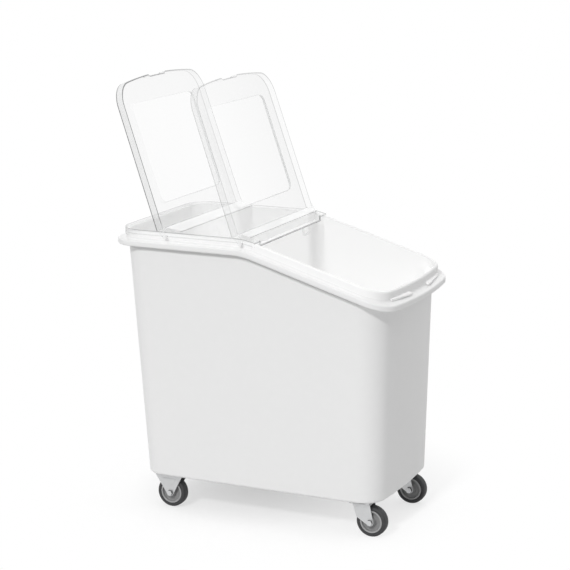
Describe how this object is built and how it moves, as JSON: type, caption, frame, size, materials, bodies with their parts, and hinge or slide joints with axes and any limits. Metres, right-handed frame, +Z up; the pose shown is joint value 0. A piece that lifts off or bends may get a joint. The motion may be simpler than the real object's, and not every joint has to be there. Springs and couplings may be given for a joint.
{
  "type": "rolling flour bin",
  "caption": "White plastic flour bin on casters with a sloping mouth, a clear rear cover with a scoop hook, and clear lid leaves that hinge up from it.",
  "frame": {"origin": "on the floor, under the middle of the rim's length and width", "axes": "+X towards the low front end with the mouth, +Y to the left side, +Z up"},
  "size_m": [0.724, 0.438, 1.0565],
  "materials": {
    "tub_plastic": "satin moulded polyethylene",
    "clear_plastic": "clear polycarbonate",
    "zinc_steel": "zinc-plated pressed sheet",
    "zinc_hardware": "zinc-plated fasteners",
    "pin_steel": "bright steel",
    "hub_plastic": "moulded nylon",
    "tyre_rubber": "non-marking rubber"
  },
  "bodies": {
    "bin": {"tub": "tub_plastic", "rear_cover": "clear_plastic", "scoop_hook": "clear_plastic", "caster_bolts": "zinc_hardware", "caster_nuts": "zinc_hardware", "rear_left_fork": "zinc_steel", "rear_left_axle": "zinc_hardware", "rear_left_axle_nut": "zinc_hardware", "rear_left_sleeve": "pin_steel", "front_left_plate": "zinc_steel", "front_left_kingpin": "zinc_hardware", "rear_right_fork": "zinc_steel", "rear_right_axle": "zinc_hardware", "rear_right_axle_nut": "zinc_hardware", "rear_right_sleeve": "pin_steel", "front_right_plate": "zinc_steel", "front_right_kingpin": "zinc_hardware"},
    "front_lid": {"front_lid": "clear_plastic", "front_lid_pins": "pin_steel"},
    "rear_lid": {"rear_lid": "clear_plastic", "rear_lid_pins": "pin_steel"},
    "rear_left_wheel": {"rear_left_hub": "hub_plastic", "rear_left_tyre": "tyre_rubber"},
    "front_left_swivel": {"front_left_balls": "pin_steel", "front_left_fork": "zinc_steel", "front_left_axle": "zinc_hardware", "front_left_axle_nut": "zinc_hardware", "front_left_sleeve": "pin_steel"},
    "front_left_wheel": {"front_left_hub": "hub_plastic", "front_left_tyre": "tyre_rubber"},
    "rear_right_wheel": {"rear_right_hub": "hub_plastic", "rear_right_tyre": "tyre_rubber"},
    "front_right_swivel": {"front_right_balls": "pin_steel", "front_right_fork": "zinc_steel", "front_right_axle": "zinc_hardware", "front_right_axle_nut": "zinc_hardware", "front_right_sleeve": "pin_steel"},
    "front_right_wheel": {"front_right_hub": "hub_plastic", "front_right_tyre": "tyre_rubber"}
  },
  "joints": [
    {"name": "front_lid_hinge", "type": "hinge", "parent": "bin", "child": "front_lid", "pos_m": [-0.0155, 0, 0.69443], "axis": [0, 1, 0], "range_deg": [0, 125.7]},
    {"name": "rear_lid_hinge", "type": "hinge", "parent": "bin", "child": "rear_lid", "pos_m": [-0.21202, 0, 0.69443], "axis": [0, 1, 0], "range_deg": [0, 24]},
    {"name": "rear_left_wheel_spin", "type": "hinge", "parent": "bin", "child": "rear_left_wheel", "pos_m": [-0.2425, 0.132, 0.0375], "axis": [0, 1, 0], "continuous": true},
    {"name": "front_left_swivel", "type": "hinge", "parent": "bin", "child": "front_left_swivel", "pos_m": [0.263, 0.132, 0.08], "axis": [0, 0, 1], "continuous": true},
    {"name": "front_left_wheel_spin", "type": "hinge", "parent": "front_left_swivel", "child": "front_left_wheel", "pos_m": [0.288, 0.132, 0.0375], "axis": [0, 1, 0], "continuous": true},
    {"name": "rear_right_wheel_spin", "type": "hinge", "parent": "bin", "child": "rear_right_wheel", "pos_m": [-0.2425, -0.132, 0.0375], "axis": [0, 1, 0], "continuous": true},
    {"name": "front_right_swivel", "type": "hinge", "parent": "bin", "child": "front_right_swivel", "pos_m": [0.263, -0.132, 0.08], "axis": [0, 0, 1], "continuous": true},
    {"name": "front_right_wheel_spin", "type": "hinge", "parent": "front_right_swivel", "child": "front_right_wheel", "pos_m": [0.288, -0.132, 0.0375], "axis": [0, 1, 0], "continuous": true}
  ]
}
